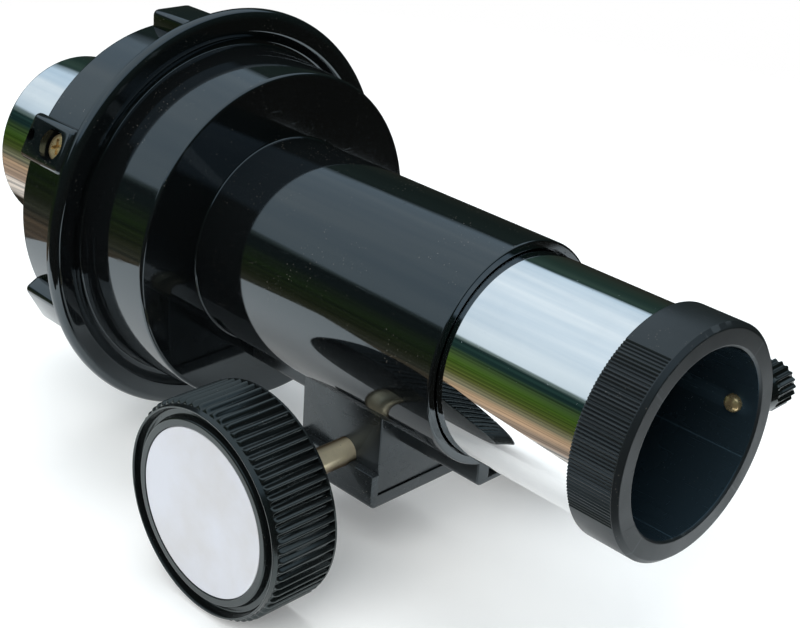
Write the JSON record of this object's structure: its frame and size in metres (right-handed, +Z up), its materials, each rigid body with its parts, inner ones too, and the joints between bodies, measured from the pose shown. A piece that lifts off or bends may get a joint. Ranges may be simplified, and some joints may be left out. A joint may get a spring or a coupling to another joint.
{
  "type": "rack and pinion eyepiece focuser",
  "caption": "Rack-and-pinion telescope focuser: a flanged barrel, a sliding chrome drawtube with an eyepiece holder and thumbscrew, and knobs on a cross shaft.",
  "frame": {"origin": "on the optical axis, in the plane of the flange's rear face where the end of the telescope tube butts", "axes": "+X along the optical axis towards the eyepiece, +Z up with the knobs and pinion block hanging below the barrel, +Y to the side the thumbscrew points"},
  "size_m": [0.164, 0.088, 0.0868],
  "materials": {
    "black_plastic": "gloss black moulded plastic",
    "satin_black": "satin black moulded plastic",
    "ribbed_black": "semi-gloss black moulded plastic",
    "chrome": "bright mirror plating",
    "shaft_brass": "dull brushed brass",
    "yellow_brass": "bright brass",
    "steel": "plated steel",
    "silver_disc": "fine matt silver"
  },
  "bodies": {
    "body": {"focuser_body": "black_plastic", "pinion_cover": "black_plastic", "lug_screw_1": "yellow_brass", "lug_screw_2": "yellow_brass", "lug_screw_3": "yellow_brass", "cover_screw_1": "steel", "cover_screw_2": "steel", "cover_screw_3": "steel", "cover_screw_4": "steel"},
    "drawtube": {"drawtube": "chrome", "rack": "steel", "rack_screw_1": "steel", "rack_screw_2": "steel", "eyepiece_holder": "satin_black"},
    "pinion": {"pinion_gear": "shaft_brass", "pinion_shaft": "shaft_brass", "focus_knob_right": "ribbed_black", "focus_knob_left": "ribbed_black", "knob_disc_right": "silver_disc", "knob_disc_left": "silver_disc"},
    "stud": {"thumbscrew_stud": "yellow_brass"},
    "thumb_head": {"thumbscrew_head": "ribbed_black"}
  },
  "joints": [
    {"name": "focus_slide", "type": "slide", "parent": "body", "child": "drawtube", "axis": [1, 0, 0], "range_m": [-0.024, 0.059]},
    {"name": "pinion_turn", "type": "hinge", "parent": "body", "child": "pinion", "pos_m": [0.0495, 0, -0.027], "axis": [0, 1, 0], "range_deg": [-246, 604]},
    {"name": "stud_slide", "type": "slide", "parent": "drawtube", "child": "stud", "axis": [0, 1, 0], "range_m": [0, 0.0035]},
    {"name": "thumb_turn", "type": "hinge", "parent": "stud", "child": "thumb_head", "pos_m": [0.10955, 0.0236, 0], "axis": [0, 1, 0], "range_deg": [-1, 2521]}
  ],
  "couplings": [
    {"joint": "pinion_turn", "follows": "focus_slide", "rad_per_m": 178.57},
    {"joint": "thumb_turn", "follows": "stud_slide", "rad_per_m": 12566}
  ]
}
